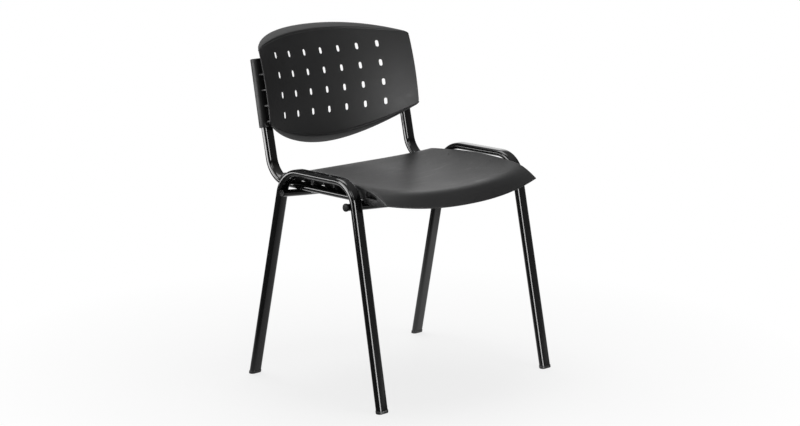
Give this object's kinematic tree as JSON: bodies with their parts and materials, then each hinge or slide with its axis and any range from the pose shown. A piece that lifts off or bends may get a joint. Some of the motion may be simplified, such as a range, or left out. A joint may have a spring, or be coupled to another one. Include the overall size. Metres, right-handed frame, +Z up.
{
  "type": "stacking chair",
  "caption": "Stacking visitor chair with a moulded seat, a perforated moulded back and a bent flat-oval tube frame.",
  "frame": {"origin": "on the floor, under the middle of the chair's bounding box", "axes": "+Z up, the sitter faces -Y, +X to the sitter's left hand side as seen from the front on the right; the chair is mirror symmetric in X"},
  "size_m": [0.556, 0.554, 0.7904],
  "materials": {
    "moulded_shell": "black moulded polypropylene with a fine even grain",
    "gloss_frame": "gloss black powder coat on steel tube",
    "plastic_plug": "smooth black moulded plastic",
    "foot_glide": "black moulded plastic, scuffed at the floor",
    "zinc_screw": "bright zinc plate"
  },
  "bodies": {
    "root": {"seat_shell": "moulded_shell", "back_shell": "moulded_shell", "back_screw_left": "zinc_screw", "back_screw_right": "zinc_screw", "front_cross_tube": "gloss_frame", "rear_cross_tube": "gloss_frame", "side_frame_left": "gloss_frame", "side_frame_right": "gloss_frame", "back_upright_left": "gloss_frame", "back_upright_right": "gloss_frame", "rail_plug_left": "plastic_plug", "rail_plug_right": "plastic_plug", "foot_glide_front_left": "foot_glide", "foot_glide_front_right": "foot_glide", "foot_glide_rear_left": "foot_glide", "foot_glide_rear_right": "foot_glide", "cross_tube_plug_front_left": "plastic_plug", "cross_tube_plug_front_right": "plastic_plug", "cross_tube_plug_rear_left": "plastic_plug", "cross_tube_plug_rear_right": "plastic_plug", "seat_screw_front_left": "zinc_screw", "seat_screw_front_right": "zinc_screw", "seat_screw_rear_left": "zinc_screw", "seat_screw_rear_right": "zinc_screw"}
  },
  "joints": []
}
